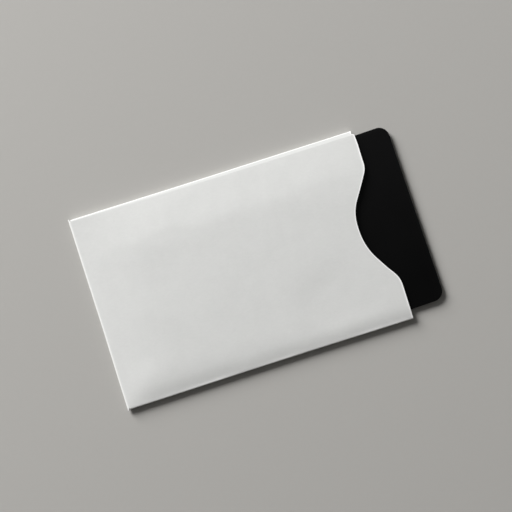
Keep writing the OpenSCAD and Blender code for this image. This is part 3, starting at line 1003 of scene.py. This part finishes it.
class CARDSLEEVE_OT_inner_finishes(bpy.types.Operator):
    """Gives the card's inner sheets and the glued seams their finishes"""
    bl_idname = "card_sleeve.inner_finishes"
    bl_label = "Finish the Inner Pieces"

    def execute(self, context):
        finish = context.scene.card_sleeve_finish
        core = plastic_finish("card_core_sheet", finish.card_core,
                              scale=5000, rough=0.45, depth=0.000004)
        inlay = plastic_finish("inlay_sheet", finish.inlay,
                               scale=4000, rough=0.5, depth=0.000004)
        chip = plastic_finish("chip_mould", finish.chip,
                              scale=7000, rough=0.25, depth=0.000003)
        glue = glue_finish(finish.glue)
        for node, material in (
                ("card_front_core", core), ("card_back_core", core),
                ("card_inlay", inlay), ("card_chip", chip),
                ("card_antenna", track_finish(finish.antenna)),
                ("side_seam_glue", glue), ("end_seam_glue", glue)):
            dress(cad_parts[node], material)
        return {"FINISHED"}


def lay_floor(finish):
    """A round floor that sweeps up into a wall."""
    start_clean()
    bpy.ops.mesh.primitive_circle_add(vertices=FLOOR_SIDES, radius=FLOOR_RADIUS, fill_type="NGON",
                                      location=(0, 0, FLOOR_LEVEL))
    floor = new_piece("studio_floor")
    edit(floor)
    select_edges(floor, lambda edge: edge.is_boundary)
    for step in range(SWEEP_STEPS):
        was, now = (math.pi / 2 * (step + more) / SWEEP_STEPS for more in (0, 1))
        climb = SWEEP_RADIUS * (math.cos(was) - math.cos(now))
        wider = ((FLOOR_RADIUS + SWEEP_RADIUS * math.sin(now))
                 / (FLOOR_RADIUS + SWEEP_RADIUS * math.sin(was)))
        bpy.ops.mesh.extrude_edges_move(TRANSFORM_OT_translate={"value": (0, 0, climb)})
        bpy.ops.transform.resize(value=(wider, wider, 1), center_override=(0, 0, 0))
    bpy.ops.mesh.extrude_edges_move(TRANSFORM_OT_translate={"value": (0, 0, WALL_HEIGHT)})
    face_outwards()
    smooth(floor, SMOOTH_PAPER)
    dress(floor, floor_finish(finish.floor, finish.backdrop))


def hang_key_light(studio):
    """One large soft light, low on the spine's side."""
    flat = studio.key_distance * math.cos(studio.key_height)
    place = Vector((flat * math.cos(studio.key_bearing), flat * math.sin(studio.key_bearing),
                    studio.key_distance * math.sin(studio.key_height)))
    start_clean()
    bpy.ops.object.light_add(type="AREA", location=place)
    key = bpy.context.object
    key.name = "key_light"
    key.rotation_euler = place.to_track_quat("Z", "Y").to_euler()
    key.data.shape = "DISK"
    key.data.size = studio.key_size
    key.data.energy = studio.key_power


def spread_sky(studio):
    """A soft sky that fades from the spine's side to the other."""
    world = bpy.data.worlds.new("studio_sky")
    sky = Wiring(world)
    direction = sky.add("ShaderNodeTexCoord", out="Generated")
    across = sky.add("ShaderNodeSeparateXYZ", {}, {"Vector": direction}, out="Y")
    strength = sky.slope(across, -SKY_FADE, SKY_FADE, studio.fill_side, studio.fill_spine)
    light = sky.add("ShaderNodeBackground", {}, {"Color": (1.0, 1.0, 1.0), "Strength": strength})
    sky.add("ShaderNodeOutputWorld", {}, {"Surface": light})
    bpy.context.scene.world = world


def set_camera(studio):
    """A camera straight above, turned as the photograph is."""
    place = (studio.camera_x, studio.camera_y, studio.camera_height)
    bpy.ops.object.camera_add(location=place, rotation=(0, 0, studio.camera_turn))
    camera = bpy.context.object
    camera.name = "photo_camera"
    camera.data.lens = studio.lens
    camera.data.clip_start = 0.01
    bpy.context.scene.camera = camera


class CARDSLEEVE_OT_studio(bpy.types.Operator):
    """Sets the floor, the soft light and the camera straight above"""
    bl_idname = "card_sleeve.studio"
    bl_label = "Set the Studio"

    def execute(self, context):
        studio = context.scene.card_sleeve_studio
        lay_floor(context.scene.card_sleeve_finish)
        hang_key_light(studio)
        spread_sky(studio)
        set_camera(studio)
        context.scene.view_settings.view_transform = "Standard"
        return {"FINISHED"}


class VIEW3D_PT_card_sleeve(bpy.types.Panel):
    """The sleeve's sizes, finishes and steps"""
    bl_label = "Card Sleeve"
    bl_idname = "VIEW3D_PT_card_sleeve"
    bl_space_type = "VIEW_3D"
    bl_region_type = "UI"
    bl_category = "Card Sleeve"

    def draw(self, context):
        layout = self.layout
        for settings, label in SETTINGS:
            box = layout.box()
            box.label(text=label)
            group = getattr(context.scene, settings)
            for name in group.bl_rna.properties.keys():
                if name not in {"rna_type", "name"}:
                    box.prop(group, name)
        for step in STEPS:
            layout.operator(step.bl_idname)


SETTINGS = (("card_sleeve_sheet", "Sleeve"), ("card_sleeve_card", "Card"),
            ("card_sleeve_finish", "Finishes"), ("card_sleeve_studio", "Studio"))
GROUPS = (CardSleeveSheet, CardSleeveCard, CardSleeveFinish, CardSleeveStudio)
STEPS = (CARDSLEEVE_OT_fold_sleeve, CARDSLEEVE_OT_card_faces, CARDSLEEVE_OT_inner_finishes,
         CARDSLEEVE_OT_studio)


def register():
    for group in GROUPS:
        bpy.utils.register_class(group)
    for (settings, _), group in zip(SETTINGS, GROUPS):
        setattr(bpy.types.Scene, settings, bpy.props.PointerProperty(type=group))
    for step in STEPS:
        bpy.utils.register_class(step)
    bpy.utils.register_class(VIEW3D_PT_card_sleeve)


def unregister():
    bpy.utils.unregister_class(VIEW3D_PT_card_sleeve)
    for step in reversed(STEPS):
        bpy.utils.unregister_class(step)
    for settings, _ in SETTINGS:
        delattr(bpy.types.Scene, settings)
    for group in reversed(GROUPS):
        bpy.utils.unregister_class(group)


def main():
    register()
    bpy.ops.card_sleeve.fold_sleeve()
    bpy.ops.card_sleeve.card_faces()
    bpy.ops.card_sleeve.inner_finishes()
    bpy.ops.card_sleeve.studio()


if __name__ == "__main__":
    main()
